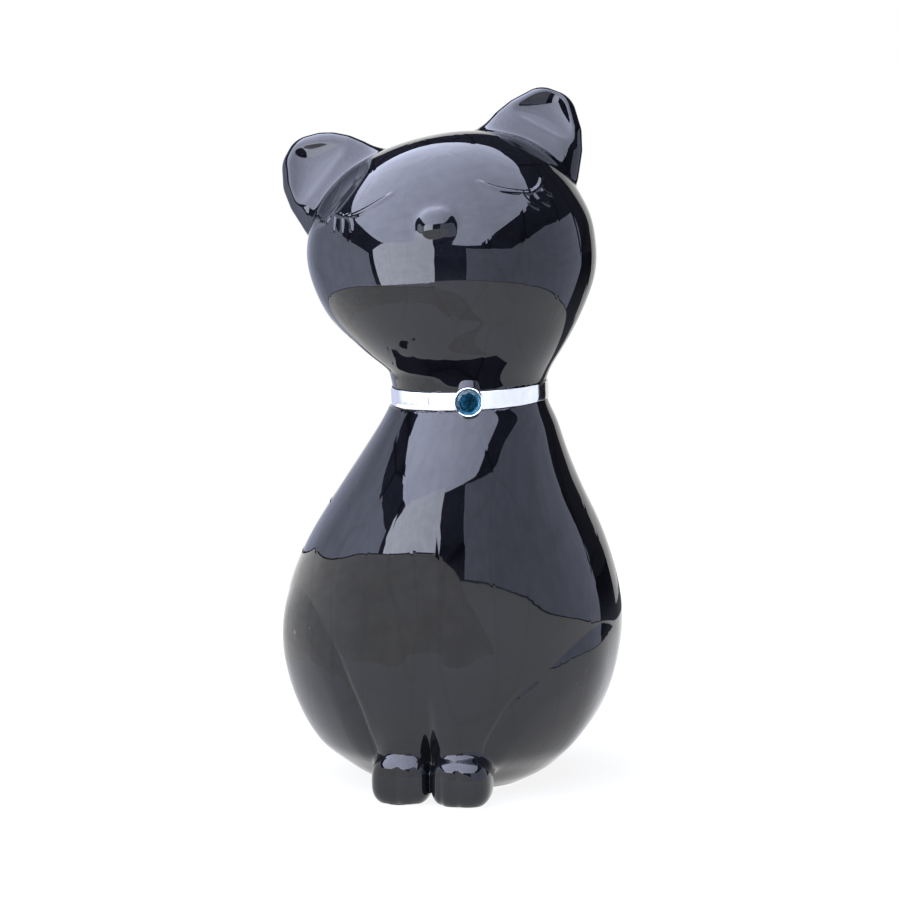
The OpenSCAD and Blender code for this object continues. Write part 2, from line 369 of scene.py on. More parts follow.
def with_ears(f, q):
    x, y, z = q.T
    spread, front = 2.2 + 7.8 * ease((z - 16) / 18), ease((-1 - y) / 7)
    for ear in EARS:
        near = shape_distance(x * ear["side"], z, rounded_outline(ear["plate"]))
        plate = (np.hypot(near, (y - EAR_Y) / EAR_FLAT) - ear["r"]) * 0.75
        f = smooth_min(f, plate, spread * (1 - ear["valley"] * front))
    for ear in EARS:
        share = depth_inside(x * ear["side"], z, ear["rim"]) / SCOOP_WIDTH
        scoop = np.where(share > 0, 1 - (1 - np.minimum(share, 1))**2, 2 * share - 1.5 * share**2)
        f = smooth_max(f, (EAR_Y - SCOOP_LIP + ear["depth"] * scoop - y) * 0.7, 1.2)
    return f


def lid_paths():
    """Eyelid and lash lines laid on the head's surface, with their half width and height."""
    made = []
    for lines, width, height in ((LIDS, 0.85, 0.75), (LASHES, 0.72, 0.7)):
        for line in lines:
            xz = through(line, 6)
            y = np.full(len(xz), -40.0)
            for _ in range(30):
                q = np.stack([xz[:, 0], y, xz[:, 1]], 1)
                y = y + np.clip(head_ball(q), -4, 4)
            made.append((np.stack([xz[:, 0], y, xz[:, 1]], 1), width, height))
    return made


LID_PATHS = lid_paths()


def with_face(f, q):
    f = smooth_min(f, pillow(q, NOSE, NOSE_SIZE, 2.3), 4.2)
    near = (q[:, 1] < -15) & (q[:, 2] > -3) & (q[:, 2] < 25) & (np.abs(f) < 4)
    at, raised = q[near], np.zeros(near.sum())
    for path, width, height in LID_PATHS:
        d, along = path_distance(at, path)
        taper = 0.35 + 0.65 * np.sqrt(np.clip(4 * along * (1 - along), 0, 1))
        raised = np.maximum(raised, height * taper * np.exp(-(d / width)**2))
        raised -= 0.12 * np.exp(-((d - 2.0 * width) / (0.8 * width))**2) * taper
    f[near] -= raised
    return f


def head_field(p):
    q = in_head(p)
    f = with_face(with_ears(head_ball(q), q), q)
    across, deep, up = in_collar(p).T
    past, low = np.hypot(across, deep) - NECK_RADIUS, up < 16
    root = smooth_max(past - 0.1 * np.maximum(up - 3, 0), (up - 7.5) * 0.9, 2.0)
    f = np.where(low, smooth_min(f, root, 4.5), f)
    limit = (past - np.maximum(up - 3.1, 0) * 2.4) * 0.42
    f = np.where(low, smooth_max(f, limit, 0.3), f)
    return f + 0.04 * wobble(p, 3.1) + 0.08 * wobble(p, 8.3)


# ---------------- from a field to a surface

def surface_nets(field, lo, hi, step):
    """Quads near the zero surface of a field, one vertex per crossed cell."""
    axes = [np.arange(lo[i], hi[i] + step, step) for i in range(3)]
    y, z = np.meshgrid(axes[1], axes[2], indexing="ij")
    values = np.stack([field(np.stack([np.full(y.size, x), y.ravel(), z.ravel()], 1)).reshape(y.shape)
                       for x in axes[0]])
    cells = tuple(n - 1 for n in values.shape)
    total, count, quads = np.zeros((*cells, 3)), np.zeros(cells), []
    for d in range(3):
        first, second = [slice(None)] * 3, [slice(None)] * 3
        first[d], second[d] = slice(0, -1), slice(1, None)
        a, b = values[tuple(first)], values[tuple(second)]
        index = np.argwhere((a < 0) != (b < 0))
        others = [k for k in range(3) if k != d]
        index = index[(index[:, others] > 0).all(1) & (index[:, others] < np.array(values.shape)[others] - 1).all(1)]
        start, end = a[tuple(index.T)], b[tuple(index.T)]
        at = index.astype(float)
        at[:, d] += start / (start - end)
        corners = []
        for s in ((0, 0), (1, 0), (1, 1), (0, 1)):
            c = index.copy()
            c[:, others] -= s
            np.add.at(total, tuple(c.T), at)
            np.add.at(count, tuple(c.T), 1)
            corners.append(np.ravel_multi_index(tuple(c.T), cells))
        quad = np.stack(corners, 1)
        flip = (start > 0) if d != 1 else (start < 0)
        quad[flip] = quad[flip][:, ::-1]
        quads.append(quad)
    used = count > 0
    number = np.full(cells, -1)
    number[used] = np.arange(used.sum())
    points = total[used] / count[used][:, None] * step + np.array([a[0] for a in axes])
    return points, number.ravel()[np.vstack(quads)]


def gradient(field, p, e=0.02):
    return np.stack([(field(p + d) - field(p - d)) / (2 * e) for d in np.eye(3) * e], 1)


def project(field, p, rounds=2):
    for _ in range(rounds):
        g = gradient(field, p)
        step = field(p) / np.maximum((g * g).sum(1), 0.05)
        p = p - np.clip(step, -1.5, 1.5)[:, None] * g
    return p


def relax(p, quads, share=0.5):
    total, count = np.zeros_like(p), np.zeros(len(p))
    for i in range(4):
        for a, b in ((quads[:, i], quads[:, (i + 1) % 4]), (quads[:, (i + 1) % 4], quads[:, i])):
            for k in range(3):
                total[:, k] += np.bincount(a, p[b, k], len(p))
            count += np.bincount(a, minlength=len(p))
    return p + share * (total / np.maximum(count, 1)[:, None] - p)


def refine(p, quads, others, marked):
    """Splits the marked quads in four. Their neighbours gain the new edge points, and join others."""
    picked, rest = quads[marked], quads[~marked]
    sides = [np.sort(picked[:, [i, (i + 1) % 4]], 1) for i in range(4)]
    keys = [s[:, 0].astype(np.int64) * len(p) + s[:, 1] for s in sides]
    unique, first, inverse = np.unique(np.concatenate(keys), return_index=True, return_inverse=True)
    ends = np.vstack(sides)[first]
    mid = inverse.reshape(4, -1).T + len(p)
    centre = np.arange(len(picked)) + len(p) + len(unique)
    made = np.vstack([np.stack([picked[:, i], mid[:, i], centre, mid[:, (i + 3) % 4]], 1) for i in range(4)])
    points = np.vstack([p, (p[ends[:, 0]] + p[ends[:, 1]]) / 2, p[picked].mean(1)])
    number = {int(k): len(p) + i for i, k in enumerate(unique)}

    def grown(face):
        out = []
        for a, b in zip(face, face[1:] + face[:1]):
            out.append(a)
            key = min(a, b) * len(p) + max(a, b)
            if key in number:
                out.append(number[key])
        return out
    touched = np.zeros(len(rest), bool)
    for i in range(4):
        s = np.sort(rest[:, [i, (i + 1) % 4]], 1)
        touched |= np.isin(s[:, 0].astype(np.int64) * len(p) + s[:, 1], unique)
    others = [grown(face) for face in others] + [grown([int(v) for v in face]) for face in rest[touched]]
    return points, np.vstack([rest[~touched], made]), others


def sculpt(field, lo, hi, fine, finest):
    """A surface of about 1 mm quads, 0.5 mm where fine(points), 0.25 mm where finest(points)."""
    p, quads = surface_nets(field, lo, hi, 2.0)
    p = project(field, relax(p, quads))
    p = project(field, relax(p, quads, 0.3))
    others = []
    for wanted in (None, fine, finest):
        marked = wanted(p[quads].mean(1)) if wanted else np.ones(len(quads), bool)
        p, quads, others = refine(p, quads, others, marked)
        p = project(field, p)
    return p, quads, others


def as_bmesh(p, quads, others):
    bm = bmesh.new()
    verts = [bm.verts.new(v) for v in p]
    for face in quads.tolist() + others:
        bm.faces.new([verts[i] for i in face]).smooth = True
    return bm


def cut(bm, point, up):
    """Cuts away what is above the plane, and returns the loops of edges left open."""
    bmesh.ops.bisect_plane(bm, geom=bm.verts[:] + bm.edges[:] + bm.faces[:], dist=1e-5,
                           plane_co=point, plane_no=up, clear_outer=True)
    loose = [v for v in bm.verts if not v.link_faces]
    bmesh.ops.delete(bm, geom=loose, context="VERTS")
    open_edges = [e for e in bm.edges if len(e.link_faces) == 1
                  and all(abs((np.array(v.co) - point) @ up) < 1e-3 for v in e.verts)]
    return loops_of(open_edges)


def loops_of(edges):
    """The closed loops that a set of edges makes, each as its vertices in order."""
    left, loops = set(edges), []
    while left:
        e = left.pop()
        loop = [e.verts[0], e.verts[1]]
        while loop[-1] is not loop[0]:
            e = next(x for x in loop[-1].link_edges if x in left)
            left.discard(e)
            loop.append(e.other_vert(loop[-1]))
        loops.append(loop[:-1])
    return loops


def ordered(loop, centre, axes):
    """The loop's vertices by angle round centre, and those angles."""
    q = (np.array([v.co for v in loop]) - centre) @ axes
    angle = np.arctan2(q[:, 1], q[:, 0])
    order = np.argsort(angle)
    return [loop[i] for i in order], angle[order]


def ring(bm, points):
    return [bm.verts.new(v) for v in points]


def wall(bm, a, b):
    """Quads between two rings of as many vertices."""
    for i in range(len(a)):
        j = (i + 1) % len(a)
        bm.faces.new((a[i], a[j], b[j], b[i])).material_index = 1


def bridge(bm, a, angles_a, b, angles_b):
    """Triangles between two rings of different counts, both in order of angle."""
    i = j = 0
    n, m = len(a), len(b)
    wa = list(angles_a) + [angles_a[0] + 2 * math.pi]
    wb = list(angles_b) + [angles_b[0] + 2 * math.pi]
    while i < n or j < m:
        if j >= m or (i < n and wa[i + 1] <= wb[j + 1]):
            face = (a[i], a[(i + 1) % n], b[j % m])
            i += 1
        else:
            face = (a[i % n], b[(j + 1) % m], b[j])
            j += 1
        bm.faces.new(face).material_index = 1


def fan(bm, a, tip):
    v = bm.verts.new(tip)
    for i in range(len(a)):
        bm.faces.new((a[i], a[(i + 1) % len(a)], v)).material_index = 1


# ---------------- shells

def lathe_down(bm, start, angles, centre, axes, steps):
    """Rings of (radius, height) steps about an axis, joined on to the ring start."""
    last = start
    for step in steps:
        new = ring(bm, around_axis(step, angles) @ axes.T + centre)
        wall(bm, last, new)
        last = new
    return last


def from_lids(q):
    """Distance to the nearest lid or lash, for places near the face."""
    d = np.full(len(q), 99.0)
    near = (q[:, 1] < -15) & (q[:, 2] > -2) & (q[:, 2] < 24)
    for path, _, _ in LID_PATHS:
        d[near] = np.minimum(d[near], path_distance(q[near], path)[0])
    return d


INNER_HEIGHTS = (130, 118, 104, 88, 72, 58, 44, 30, 19, 11)           # rings of the body's hollow
INNER_SHARES = (0.12, 0.24, 0.37, 0.5, 0.62, 0.74, 0.84, 0.92, 0.97)    # rings of the head's, from neck to crown


def body_mesh():
    def parting(c, width, front, top):
        return (np.abs(c[:, 0] - 0.9) < width) & (c[:, 1] < front) & (c[:, 2] < top)

    def fine(c):
        low = (c[:, 1] < -8) & (c[:, 2] < 78)
        d = np.full(len(c), 99.0)
        for crease in (LEFT_CREASE, RIGHT_CREASE):
            d[low] = np.minimum(d[low], path_distance(unrolled(c[low]), through(crease, 3))[0])
        return (d < 3) | parting(c, 3, -44, 50)

    def finest(c):
        return parting(c, 1.2, -46, 44)
    bm = as_bmesh(*sculpt(body_field, (-72, -72, -4), (74, 74, 156), fine, finest))
    up = COLLAR[:, 2]
    neck = cut(bm, NECK - 0.25 * up, up)[0]
    feet = cut(bm, np.array([0, 0, FOOT_GAP]), np.array([0, 0, -1.0]))
    feet.sort(key=len)
    neck, turns = ordered(neck, NECK, COLLAR)
    last = lathe_down(bm, neck, turns, NECK, COLLAR, [(23.4, -0.25), (23, -0.6), (23, -9.5)])
    for z in INNER_HEIGHTS:
        w, d, sx, sy = (float(line(z)) for line in BODY_LINES)
        new = ring(bm, np.stack([sx + (w - WALL) * np.cos(turns), sy + (d - WALL) * np.sin(turns), z + 0 * turns], 1))
        wall(bm, last, new)
        last = new
    floor = lathe_down(bm, last, turns, ORIGIN, UPRIGHT, [(30, 7), (14, 6.6)])
    foot, angles = ordered(feet[-1], ORIGIN, UPRIGHT)
    under = [(FELT_OUTER, FOOT_GAP), (FELT_OUTER, 1.2), (FELT_INNER, 1.2), (FELT_INNER, FOOT_GAP), (12.3, FOOT_GAP),
             (12.1, 0.8), (12.1, 3.0), (9.3, 3.0), (9.0, 3.3), (9.0, 6.3), (9.3, 6.6)]
    top = lathe_down(bm, foot[::-1], angles[::-1], ORIGIN, UPRIGHT, under)
    bridge(bm, floor, turns, top[::-1], angles)
    for loop in feet[:-1]:
        side = math.copysign(1, sum(v.co.x for v in loop))
        x, y, recess = PAW_FELT
        spot = np.array([x * side, y, 0])
        foot, angles = ordered(loop, spot, UPRIGHT)
        last = lathe_down(bm, foot[::-1], angles[::-1], spot, UPRIGHT, [(recess, FOOT_GAP), (recess, 1.2)])
        fan(bm, last, spot + [0, 0, 1.2])
    return bm


def head_mesh():
    def fine(c):
        q = in_head(c)
        nose = np.linalg.norm(q - [-2.9, -47, 4.9], axis=1) < 9.5
        ears = (np.abs(q[:, 0]) > 20) & (q[:, 2] > 22) & (q[:, 1] < 6)
        return (from_lids(q) < 3.2) | nose | ears

    def finest(c):
        return from_lids(in_head(c)) < 2.2
    bm = as_bmesh(*sculpt(head_field, (-66.3, -76.4, 138.3), (74, 48, 266), fine, finest))
    up = COLLAR[:, 2]
    neck, turns = ordered(cut(bm, NECK, -up)[0], NECK, COLLAR)
    last = lathe_down(bm, neck[::-1], turns[::-1], NECK, COLLAR,
                      [(23.1, 0), (22.75, -0.35), (22.75, -7.7), (22.4, -8), (18.6, -8), (18.25, -7.6), (18.25, 8)])
    turns = turns[::-1]
    start = (np.array([v.co for v in last]) - HEAD_AT) @ HEAD
    start /= np.linalg.norm(start, axis=1)[:, None]
    top = np.array([0, 0, 1.0])
    for t in INNER_SHARES:
        angle = np.arccos(np.clip(start @ top, -1, 1)) * (1 - t)
        side = start - (start @ top)[:, None] * top
        side /= np.linalg.norm(side, axis=1)[:, None]
        way = top * np.cos(angle)[:, None] + side * np.sin(angle)[:, None]
        new = ring(bm, (way * (head_reach(way) - WALL)[:, None]) @ HEAD.T + HEAD_AT)
        wall(bm, last, new)
        last = new
    fan(bm, last, HEAD_AT + HEAD @ (top * (HEAD_LEFT(math.pi / 2) - WALL)))
    return bm


def as_mesh(name, bm, *materials):
    mesh = bpy.data.meshes.new(name)
    bm.to_mesh(mesh)
    bm.free()
    for m in materials:
        mesh.materials.append(m)
    return mesh


def finish_shell(name, bm, field, node, materials):
    """The closed mesh as an object, its glazed faces shaded by the field's own slope."""
    bmesh.ops.recalc_face_normals(bm, faces=bm.faces[:])
    mesh = as_mesh(name, bm, *materials)

    def read(things, key, kind=int, width=1):
        values = np.empty(len(things) * width, kind)
        things.foreach_get(key, values)
        return values
    co = read(mesh.vertices, "co", float, 3).reshape(-1, 3)
    slope = gradient(field, co)
    slope /= np.linalg.norm(slope, axis=1)[:, None]
    normals = slope[read(mesh.loops, "vertex_index")]
    inner = read(mesh.polygons, "material_index") > 0
    normals[np.repeat(inner, read(mesh.polygons, "loop_total"))] = 0
    mesh.vertices.foreach_set("co", (co * MM).ravel())
    mesh.set_sharp_from_angle(angle=math.radians(35))
    mesh.normals_split_custom_set(normals.tolist())
    mesh.update()
    return placed(name, mesh, node)


def linked(name, data):
    """A new object in the scene."""
    o = bpy.data.objects.new(name, data)
    bpy.context.scene.collection.objects.link(o)
    return o


def placed(name, mesh, nodes, body="figurine"):
    """Puts a mesh in the scene, standing for CAD nodes and riding on their body."""
    o = linked(name, mesh)
    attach(o, body)
    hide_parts(*([nodes] if isinstance(nodes, str) else nodes))
    return o


# ---------------- turned pieces

def turned(name, profile, centre, axes, material, steps=96, start=0.0, sweep=2 * math.pi, shift=None, bevel_angle=40):
    """A closed profile of (radius, height) swept round an axis. shift(angle, r, z) may move its points."""
    p = np.array(profile, float)
    whole = abs(sweep - 2 * math.pi) < 1e-9
    angles = start + sweep * np.arange(steps + (0 if whole else 1)) / steps
    rows = []
    for a in angles:
        r, z = p[:, 0].copy(), p[:, 1].copy()
        if shift:
            r, z = shift(a, r, z)
        rows.append(np.stack([r * math.cos(a), r * math.sin(a), z], 1))
    bm = bmesh.new()
    on_axis = p[:, 0] < 1e-6
    poles = {i: bm.verts.new(rows[0][i]) for i in np.where(on_axis)[0]}
    grid = [[poles[i] if on_axis[i] else bm.verts.new(q) for i, q in enumerate(row)] for row in rows]
    n, m = len(grid), len(p)
    for i in range(n if whole else n - 1):
        for j in range(m):
            k = (j + 1) % m
            face = list(dict.fromkeys((grid[i][j], grid[(i + 1) % n][j], grid[(i + 1) % n][k], grid[i][k])))
            if len(face) > 2:
                bm.faces.new(face)
    if not whole:
        bm.faces.new(grid[0])
        bm.faces.new(grid[-1][::-1])
    bmesh.ops.recalc_face_normals(bm, faces=bm.faces[:])
    for v in bm.verts:
        v.co = (axes @ np.array(v.co) + centre) * MM
    return smooth_mesh(name, bm, material, bevel_angle)


def smooth_mesh(name, bm, material, angle):
    for f in bm.faces:
        f.smooth = True
    mesh = as_mesh(name, bm, material)
    mesh.set_sharp_from_angle(angle=math.radians(angle))
    return mesh


def rounded(corners, radius, steps=4):
    """A closed outline with its corners rounded. radius may be one number or one for each corner."""
    c = np.array(corners, float)
    radii = [radius] * len(c) if np.isscalar(radius) else radius
    out = []
    for i, r in enumerate(radii):
        a, b, d = c[i - 1], c[i], c[(i + 1) % len(c)]
        u, v = (a - b) / np.linalg.norm(a - b), (d - b) / np.linalg.norm(d - b)
        if r <= 0:
            out.append(tuple(b))
            continue
        half = math.acos(np.clip(u @ v, -1, 1)) / 2
        back = min(r / math.tan(half), 0.49 * np.linalg.norm(a - b), 0.49 * np.linalg.norm(d - b))
        for k in range(steps + 1):
            t = k / steps
            out.append(tuple((1 - t)**2 * (b + u * back) + 2 * t * (1 - t) * b + t * t * (b + v * back)))
    return out


def strip(inner, outer, low, high, radius, steps=3):
    """A rounded rectangle for turning. A side on the axis keeps its corners."""
    kept = radius if inner > 0 else 0
    return rounded([(inner, low), (outer, low), (outer, high), (inner, high)], [kept, radius, radius, kept], steps)


def collar(material):
    """A strip bent round the neck, its ends butted at the back, its edges not quite true."""
    inner, outer, half = COLLAR_INNER, COLLAR_OUTER, COLLAR_HALF
    outline = strip(inner, outer, -half, half, 0.16)
    extra = [(outer, z) for z in (-1.5, 0, 1.5)]
    i = max(k for k, q in enumerate(outline) if q[0] > outer - 0.05 and q[1] < 0) + 1
    outline = outline[:i] + extra + outline[i:]

    def shift(a, r, z):
        edge = 0.07 * math.sin(5 * a + 0.4) + 0.05 * math.sin(11 * a + 2) + 0.03 * math.sin(23 * a)
        dent = 0.035 * math.sin(7 * a + 1) + 0.02 * math.sin(17 * a + z.mean())
        bow = 0.05 * (1 - (z / half)**2)
        return r + np.where(r > 28.2, dent + bow, 0), z + edge * np.sign(z)
    gap = 0.1 / 28.2
    mesh = turned("collar", outline, NECK, COLLAR, material, 300, math.pi / 2 + gap, 2 * math.pi - 2 * gap, shift)
    return placed("collar", mesh, "collar_band")


def bezel(material):
    """The cup that holds the stone: its wall rolls in over the stone's edge."""
    profile = [(0, 28.3), (5.0, 28.3), (5.35, 28.0), (5.35, 30.7), (5.3, 31.0), (5.16, 31.24), (4.95, 31.34),
               (4.76, 31.26), (4.66, 31.05), (4.7, 30.86), (4.86, 30.66), (4.86, 29.52), (4.7, 29.48), (0, 29.48)]
    mesh = turned("bezel", profile, NECK, STONE, material, 96)
    return placed("bezel", mesh, "bezel_cup")


def cut_stone(material):
    """A round stone with a flat table, eight main facets and their star and girdle facets."""
    bm = bmesh.new()

    def row(n, r, z, offset=0.0):
        angles = [2 * math.pi * (i + offset) / n for i in range(n)]
        return [bm.verts.new((r * math.cos(a), r * math.sin(a), z)) for a in angles]
    table, kite, bottom = row(8, 3.45, 31.72, 0.5), row(8, 4.15, 31.25), row(16, 4.45, 29.62)
    girdle, lower = row(16, 4.78, 30.62), row(16, 4.78, 30.35)
    bm.faces.new(table)
    bm.faces.new(bottom[::-1])
    for i in range(8):
        j = (i + 1) % 8
        bm.faces.new((table[i - 1], table[i], kite[i]))
        bm.faces.new((kite[i], table[i], kite[j], girdle[2 * i + 1]))
        bm.faces.new((kite[i], girdle[2 * i + 1], girdle[2 * i]))
        bm.faces.new((kite[j], girdle[(2 * i + 2) % 16], girdle[2 * i + 1]))
    for a, b in ((girdle, lower), (lower, bottom)):
        for i in range(16):
            j = (i + 1) % 16
            bm.faces.new((a[i], a[j], b[j], b[i]))
    bmesh.ops.recalc_face_normals(bm, faces=bm.faces[:])
    for v in bm.verts:
        v.co = (STONE @ turn("z", 14) @ np.array(v.co) + NECK) * MM
    return placed("crystal", as_mesh("crystal", bm, material), "stone")


def foil(material):
    profile = strip(0, 4.75, 29.5, 29.6, 0.03, 2)
    mesh = turned("foil", profile, NECK, STONE, material, 64)
    return placed("foil", mesh, "stone_foil")


def bung(material):
    """Flange with two nail notches in its rim, and a ribbed plug."""
    outline = rounded([(0, 0.9), (12, 0.9), (12, 2.9), (8.94, 2.9)], [0, 0.45, 0.45, 0.2], 4)
    for z in (4.2, 6.2, 8.2):
        outline += [(8.9, z - 0.6), (8.94, z - 0.25), (8.94, z + 0.25), (8.9, z + 0.6)]
    outline += rounded([(8.9, 8.9), (7.45, 10.9), (0, 10.9)], [0.2, 0.5, 0], 4)

    def shift(a, r, z):
        notch = ease((0.17 - abs(math.sin(a))) / 0.04) * (z < 2.0) * ease((r - 9.4) / 0.6)
        return r, z + notch * np.maximum(2.05 - z, 0)
    mesh = turned("bung", outline + [(0, 9)], ORIGIN, UPRIGHT, material, 256, shift=shift)
    return placed("bung", mesh, "base_bung", "bung")


def felt_ring(material):
    outline = strip(FELT_INNER + 0.05, FELT_OUTER - 0.1, FELT_BOTTOM, FELT_TOP, 0.3)

    def shift(a, r, z):
        fray = 0.06 * math.sin(19 * a) + 0.05 * math.sin(43 * a + 1)
        return r + np.where(r > 20, fray - 0.1, 0.1 - fray), z
    mesh = turned("felt_ring", outline, ORIGIN, UPRIGHT, material, 180, shift=shift)
    return placed("felt_ring", mesh, "base_felt")


def paw_felts(material):
    bm = bmesh.new()
    out, y, recess = PAW_FELT
    for x in (-out, out):
        outline = strip(0, recess - 0.1, FELT_BOTTOM, FELT_TOP, 0.3)

        def shift(a, r, z):
            return r + np.where(r > 4, 0.05 * math.sin(9 * a + x) - 0.06, 0), z
        mesh = turned("one_felt", outline, np.array([x, y, 0]), UPRIGHT, material, 64, shift=shift)
        bm.from_mesh(mesh)
        bpy.data.meshes.remove(mesh)
    mesh = smooth_mesh("paw_pads", bm, material, 40)
    return placed("paw_pads", mesh, "paw_felts")


# ---------------- materials

class Nodes:
    """A new node material with its shader, and short ways to add nodes to it."""

    def __init__(self, name, **sockets):
        self.material = bpy.data.materials.new(name)
        self.material.use_nodes = True
        self.tree = self.material.node_tree
        self.shader = self.tree.nodes["Principled BSDF"]
        self.fill(self.shader, sockets)
        self.place = self.add("TexCoord").outputs["Object"]

    def put(self, socket, value):
        """Gives a socket its value, or links it to another node's output. None leaves it alone."""
        if hasattr(value, "links"):
            self.tree.links.new(value, socket)
        elif value is not None:
            socket.default_value = value

    def fill(self, node, sockets):
        """Fills sockets by name. A space in a name is written _."""
        for key, value in sockets.items():
            self.put(node.inputs[key.replace("_", " ")], value)

    def add(self, kind, **sockets):
        node = self.tree.nodes.new("ShaderNode" + kind)
        self.fill(node, sockets)
        return node

    def combine(self, kind, *values, operation=None):
        """A node that takes its values in order."""
        node = self.add(kind)
        if operation:
            node.operation = operation
        for socket, value in zip(node.inputs, values):
            self.put(socket, value)
        return node.outputs

    def noise(self, scale, detail=3.0, rough=0.5, distortion=0.0):
        return self.add("TexNoise", Scale=scale, Detail=detail, Roughness=rough, Distortion=distortion,
                        Vector=self.place).outputs["Fac"]

    def cells(self, scale):
        return self.add("TexVoronoi", Scale=scale, Vector=self.place).outputs

    def stretched(self, scale):
        return self.add("Mapping", Scale=scale, Vector=self.place).outputs["Vector"]

    def streaks(self, scale, waver):
        """Distance to the edges of long cells, which waver a little."""
        warp = self.add("TexNoise", Scale=30, Vector=self.place).outputs["Color"]
        bent = self.combine("VectorMath", warp, [waver] * 3, self.stretched(scale), operation="MULTIPLY_ADD")
        cell = self.add("TexVoronoi", Scale=1.0, Vector=bent["Vector"])
        cell.feature = "DISTANCE_TO_EDGE"
        return cell.outputs["Distance"]

    def ramp(self, value, start, end):
        """Colours between two stops, each a position and a colour."""
        n = self.add("ValToRGB", Fac=value)
        for element, stop in zip(n.color_ramp.elements, (start, end)):
            element.position, element.color = stop[0], (*stop[1], 1)
        return n.outputs["Color"]

    def spread(self, value, low, high, start=0.0, end=1.0):
        n = self.add("MapRange", From_Min=start, From_Max=end, To_Min=low, To_Max=high, Value=value)
        return n.outputs["Result"]

    def mix(self, a, b, share):
        n = self.add("Mix")
        n.data_type = "RGBA"
        for socket, value in ((0, share), (6, a), (7, b)):
            self.put(n.inputs[socket], value)
        return n.outputs[2]

    def bump(self, height, distance, strength=1.0, on=None):
        return self.add("Bump", Distance=distance, Strength=strength, Height=height, Normal=on).outputs["Normal"]

    def surface(self, colour, rough, normal=None):
        """Links the shader's colour, roughness and slope."""
        self.fill(self.shader, {"Base Color": colour, "Roughness": rough, "Normal": normal})
        return self.material


def glaze_material():
    """Deep blue-black glaze: wet gloss, a fine mica fleck, and faint lines where it ran before firing."""
    m = Nodes("glaze", Metallic=0.0, IOR=1.52, Specular_IOR_Level=0.5)
    run = m.streaks((62, 62, 7.5), 0.35)
    line, ridge = m.spread(run, 1.0, 0.0, 0.0, 0.035), m.spread(run, 0.0, 1.0, 0.0, 0.06)
    base = m.ramp(m.noise(38, 4, 0.55, 0.4), (0.32, (0.0016, 0.0017, 0.0024)), (0.7, (0.0036, 0.0038, 0.0056)))
    glint = m.ramp(m.cells(5600)["Color"], (0.80, (0, 0, 0)), (0.98, (1, 1, 1)))
    base = m.mix(base, (0.014, 0.015, 0.020, 1), glint)
    return m.surface(m.mix(base, (0.0010, 0.0010, 0.0015, 1), line),
                     m.spread(m.noise(90, 5, 0.6), 0.012, 0.04, 0.3, 0.75),
                     m.bump(ridge, 0.00006, 0.35, m.bump(m.noise(120, 2, 0.45), 0.0002, 0.08)))


def biscuit_material():
    """Bare fired clay inside and on the foot: chalky, with fine grit and a few pinholes."""
    m = Nodes("biscuit", Metallic=0.0, IOR=1.5)
    grit = m.noise(900, 6, 0.7)
    pits = m.spread(m.cells(420)["Distance"], 0.0, 1.0, 0.0, 0.22)
    return m.surface(m.ramp(m.noise(60, 5, 0.6), (0.3, (0.60, 0.56, 0.50)), (0.7, (0.72, 0.69, 0.63))),
                     m.spread(grit, 0.75, 0.95, 0.3, 0.7),
                     m.bump(pits, 0.00006, 0.4, m.bump(grit, 0.00005, 0.5)))


def silver_material():
    """Polished plated metal with hairline polishing marks and a few dull patches."""
    m = Nodes("silver", Metallic=1.0, Base_Color=(0.93, 0.93, 0.945, 1))
    lines = m.add("TexNoise", Scale=1.0, Detail=3.0, Vector=m.stretched((90, 90, 2600))).outputs["Fac"]
    return m.surface(m.ramp(m.noise(70, 4, 0.6), (0.3, (0.88, 0.88, 0.9)), (0.65, (0.96, 0.96, 0.97))),
                     m.spread(m.noise(300, 6, 0.75), 0.05, 0.19, 0.35, 0.75), m.bump(lines, 0.00002, 0.12))


def crystal_material():
    """Dark teal glass, slightly uneven in colour."""
    m = Nodes("crystal", Metallic=0.0, IOR=1.56, Roughness=0.01, Transmission_Weight=1.0)
    return m.surface(m.ramp(m.noise(500, 2, 0.5), (0.3, (0.10, 0.30, 0.38)), (0.7, (0.14, 0.37, 0.46))),
                     m.spread(m.noise(900, 3, 0.6), 0.0, 0.03, 0.4, 0.8))


def foil_material():
    m = Nodes("foil", Metallic=1.0)
    return m.surface(m.ramp(m.noise(1500, 3, 0.6), (0.35, (0.55, 0.63, 0.70)), (0.7, (0.72, 0.80, 0.86))),
                     m.spread(m.noise(2200, 4, 0.7), 0.16, 0.34, 0.3, 0.7),
                     m.bump(m.noise(2600, 3, 0.6), 0.00002, 0.4))


def rubber_material():
    m = Nodes("rubber", Metallic=0.0, IOR=1.5)
    return m.surface(m.ramp(m.noise(200, 5, 0.65), (0.3, (0.018, 0.018, 0.020)), (0.75, (0.036, 0.036, 0.039))),
                     m.spread(m.noise(700, 5, 0.7), 0.5, 0.72, 0.3, 0.7),
                     m.bump(m.noise(1600, 4, 0.6), 0.00005, 0.35))


def felt_material():
    """Pressed black wool felt: matted fibres with a little sheen."""
    m = Nodes("felt", Metallic=0.0, Sheen_Weight=0.35, Sheen_Roughness=0.6)
    fibre = m.noise(2600, 8, 0.75, 1.8)
    return m.surface(m.ramp(fibre, (0.3, (0.012, 0.012, 0.014)), (0.75, (0.050, 0.050, 0.056))),
                     m.spread(fibre, 0.85, 1.0, 0.2, 0.8), m.bump(fibre, 0.00025, 0.8))


def cement_material():
    m = Nodes("cement", Metallic=0.0)
    return m.surface(m.ramp(m.noise(500, 6, 0.7), (0.3, (0.50, 0.49, 0.45)), (0.7, (0.64, 0.63, 0.59))),
                     m.spread(m.noise(900, 5, 0.7), 0.7, 0.9, 0.3, 0.7), m.bump(m.noise(1400, 5, 0.7), 0.0001, 0.5))


# ---------------- studio

